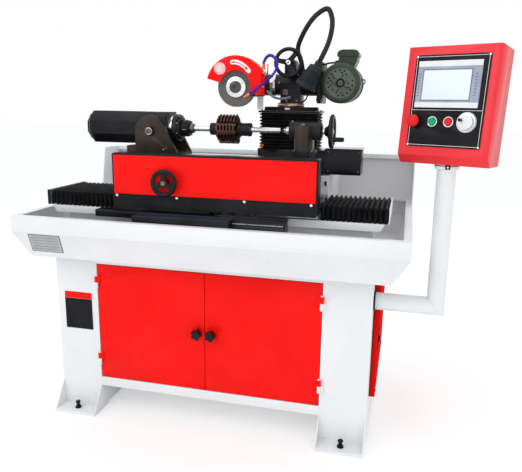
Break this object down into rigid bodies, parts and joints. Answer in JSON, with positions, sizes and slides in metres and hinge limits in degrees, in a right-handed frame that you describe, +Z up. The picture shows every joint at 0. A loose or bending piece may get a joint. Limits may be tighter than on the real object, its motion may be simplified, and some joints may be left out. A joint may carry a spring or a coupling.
{
  "type": "universal tool grinder",
  "caption": "Floor-standing tool grinder: sliding table with workhead, cutter and tailstock, swivelling wheel head on a column, coolant tray and a touch panel on a pole.",
  "frame": {"origin": "centre of the footprint on the floor", "axes": "+X to the operator's right, +Y away from the operator, +Z up"},
  "size_m": [1.771, 0.9024, 1.6169],
  "materials": {
    "white_paint": "gloss paint",
    "red_paint": "gloss paint",
    "black_paint": "gloss paint",
    "motor_paint": "satin paint",
    "black_iron": "dark satin paint",
    "dark_steel": "dark, worn",
    "bright_steel": "ground",
    "table_iron": "ground",
    "cutter_steel": "bronze-brown",
    "black_plastic": "satin",
    "bellows_cloth": "coated cloth",
    "abrasive": "coarse bonded grain",
    "scale_brass": "satin",
    "valve_brass": "polished",
    "hose_violet": "gloss",
    "hose_grey": "satin",
    "belt_rubber": "matte",
    "screen_frame": "satin",
    "button_red": "gloss",
    "button_green": "gloss",
    "dial_metal": "satin"
  },
  "bodies": {
    "frame": {"left_pedestal": "white_paint", "right_pedestal": "white_paint", "cabinet_shell": "white_paint", "coolant_tray": "white_paint", "splash_guard": "white_paint", "coolant_tank": "table_iron", "bed": "white_paint", "cross_base": "white_paint", "table_rack": "dark_steel", "bed_apron": "black_paint", "left_bellows": "bellows_cloth", "right_bellows": "bellows_cloth", "pole": "white_paint"},
    "left_door": {"left_door": "red_paint"},
    "left_knob": {"left_door_knob": "black_plastic"},
    "right_door": {"right_door": "red_paint"},
    "right_knob": {"right_door_knob": "black_plastic"},
    "electrical_door": {"electrical_door": "red_paint"},
    "table": {"table": "table_iron", "table_cover": "black_paint", "cover_panel": "red_paint", "workhead_bracket": "black_iron", "tailstock_body": "dark_steel"},
    "table_wheel": {"table_handwheel": "black_plastic", "pinion_shaft": "dark_steel"},
    "workhead": {"workhead_body": "black_iron", "workhead_motor": "black_paint"},
    "work_spindle": {"chuck": "black_iron", "arbor": "bright_steel", "hob": "cutter_steel"},
    "quill": {"tail_quill": "bright_steel"},
    "tail_wheel": {"tail_handwheel": "black_plastic"},
    "saddle": {"cross_slide": "black_paint", "column_bellows": "bellows_cloth"},
    "ram": {"column_ram": "black_iron", "swivel_ring": "scale_brass"},
    "head": {"head_housing": "black_iron", "lamp_arm": "black_plastic", "lamp_head": "black_plastic", "supply_hose": "hose_grey"},
    "head_wheel": {"head_handwheel": "black_plastic"},
    "arm": {"wheel_arm": "black_iron", "tilt_ring": "bright_steel", "wheel_guard": "red_paint", "belt_guard": "red_paint", "drive_belt": "belt_rubber", "head_motor": "motor_paint", "coolant_valve": "valve_brass", "coolant_hose": "hose_violet"},
    "wheel": {"wheel_spindle": "bright_steel", "grinding_wheel": "abrasive"},
    "rotor": {"motor_rotor": "dark_steel"},
    "valve": {"valve_lever": "red_paint"},
    "panel": {"panel_box": "red_paint", "panel_plate": "black_paint", "touch_screen": "screen_frame"},
    "mushroom": {"stop_mushroom": "button_red"},
    "start": {"start_button": "button_green"},
    "stop": {"stop_button": "button_red"},
    "dial": {"pulse_dial": "dial_metal"}
  },
  "joints": [
    {"name": "left_door_hinge", "type": "hinge", "parent": "frame", "child": "left_door", "pos_m": [-0.58658, -0.35575, 0.386], "axis": [0, 0, 1], "range_deg": [-110, 0]},
    {"name": "left_knob_turn", "type": "hinge", "parent": "left_door", "child": "left_knob", "pos_m": [-0.16353, -0.34875, 0.383], "axis": [0, 1, 0], "range_deg": [-90, 0]},
    {"name": "right_door_hinge", "type": "hinge", "parent": "frame", "child": "right_door", "pos_m": [0.31552, -0.35575, 0.386], "axis": [0, 0, 1], "range_deg": [0, 110]},
    {"name": "right_knob_turn", "type": "hinge", "parent": "right_door", "child": "right_knob", "pos_m": [-0.10753, -0.34875, 0.383], "axis": [0, 1, 0], "range_deg": [0, 90]},
    {"name": "electrical_door_hinge", "type": "hinge", "parent": "frame", "child": "electrical_door", "pos_m": [0.51777, 0.31565, 0.39], "axis": [0, 0, 1], "range_deg": [0, 100]},
    {"name": "table_slide", "type": "slide", "parent": "frame", "child": "table", "axis": [1, 0, 0], "range_m": [-0.17, 0.12], "deforming": ["left_bellows", "right_bellows"]},
    {"name": "table_handwheel_turn", "type": "hinge", "parent": "table", "child": "table_wheel", "pos_m": [-0.27253, -0.37265, 0.967], "axis": [0, 1, 0], "range_deg": [-110, 78]},
    {"name": "workhead_tilt", "type": "hinge", "parent": "table", "child": "workhead", "pos_m": [-0.38753, -0.17435, 1.146], "axis": [0, 1, 0], "range_deg": [-1.5, 4]},
    {"name": "work_spindle_turn", "type": "hinge", "parent": "workhead", "child": "work_spindle", "pos_m": [-0.32753, -0.17435, 1.157], "axis": [1, 0, 0], "continuous": true},
    {"name": "tail_quill_slide", "type": "slide", "parent": "table", "child": "quill", "axis": [1, 0, 0], "range_m": [0, 0.025]},
    {"name": "tail_handwheel_turn", "type": "hinge", "parent": "table", "child": "tail_wheel", "pos_m": [0.27647, -0.17435, 1.157], "axis": [1, 0, 0], "range_deg": [0, 905]},
    {"name": "cross_slide", "type": "slide", "parent": "frame", "child": "saddle", "axis": [0, 1, 0], "range_m": [-0.03, 0.05]},
    {"name": "column_lift", "type": "slide", "parent": "saddle", "child": "ram", "axis": [0, 0, 1], "range_m": [-0.008, 0.06], "deforming": ["column_bellows"]},
    {"name": "head_swivel", "type": "hinge", "parent": "ram", "child": "head", "pos_m": [0.09647, 0.08065, 1.2568], "axis": [0, 0, 1], "range_deg": [-30, 30]},
    {"name": "head_tilt", "type": "hinge", "parent": "head", "child": "arm", "pos_m": [0.03447, 0.09065, 1.332], "axis": [1, 0, 0], "range_deg": [-20, 1]},
    {"name": "head_handwheel_turn", "type": "hinge", "parent": "head", "child": "head_wheel", "pos_m": [0.10547, -0.01165, 1.412], "axis": [0, 1, 0], "range_deg": [-245, 15]},
    {"name": "wheel_spin", "type": "hinge", "parent": "arm", "child": "wheel", "pos_m": [-0.05703, -0.19735, 1.313], "axis": [0, 1, 0], "continuous": true},
    {"name": "motor_spin", "type": "hinge", "parent": "arm", "child": "rotor", "pos_m": [0.30947, 0.17605, 1.336], "axis": [0, 1, 0], "continuous": true},
    {"name": "valve_turn", "type": "hinge", "parent": "arm", "child": "valve", "pos_m": [0.04347, -0.14235, 1.366], "axis": [1, 0, 0], "range_deg": [-90, 0]},
    {"name": "panel_swivel", "type": "hinge", "parent": "frame", "child": "panel", "pos_m": [0.71047, -0.28435, 1.064], "axis": [0, 0, 1], "range_deg": [-60, 35]},
    {"name": "stop_mushroom_push", "type": "slide", "parent": "panel", "child": "mushroom", "axis": [0.4289, 0.8951, -0.1219], "range_m": [0, 0.004], "stiffness_N_per_m": 800},
    {"name": "start_button_push", "type": "slide", "parent": "panel", "child": "start", "axis": [0.4289, 0.8951, -0.1219], "range_m": [0, 0.003], "stiffness_N_per_m": 500},
    {"name": "stop_button_push", "type": "slide", "parent": "panel", "child": "stop", "axis": [0.4289, 0.8951, -0.1219], "range_m": [0, 0.003], "stiffness_N_per_m": 500},
    {"name": "pulse_dial_turn", "type": "hinge", "parent": "panel", "child": "dial", "pos_m": [0.75314, -0.36956, 1.20369], "axis": [0.4289, 0.8951, -0.1219], "continuous": true}
  ],
  "couplings": [
    {"joint": "table_handwheel_turn", "follows": "table_slide", "rad_per_m": 11.111},
    {"joint": "tail_handwheel_turn", "follows": "tail_quill_slide", "rad_per_m": 628.32},
    {"joint": "head_handwheel_turn", "follows": "head_tilt", "ratio": 12},
    {"joint": "motor_spin", "follows": "wheel_spin", "ratio": 0.39474}
  ]
}
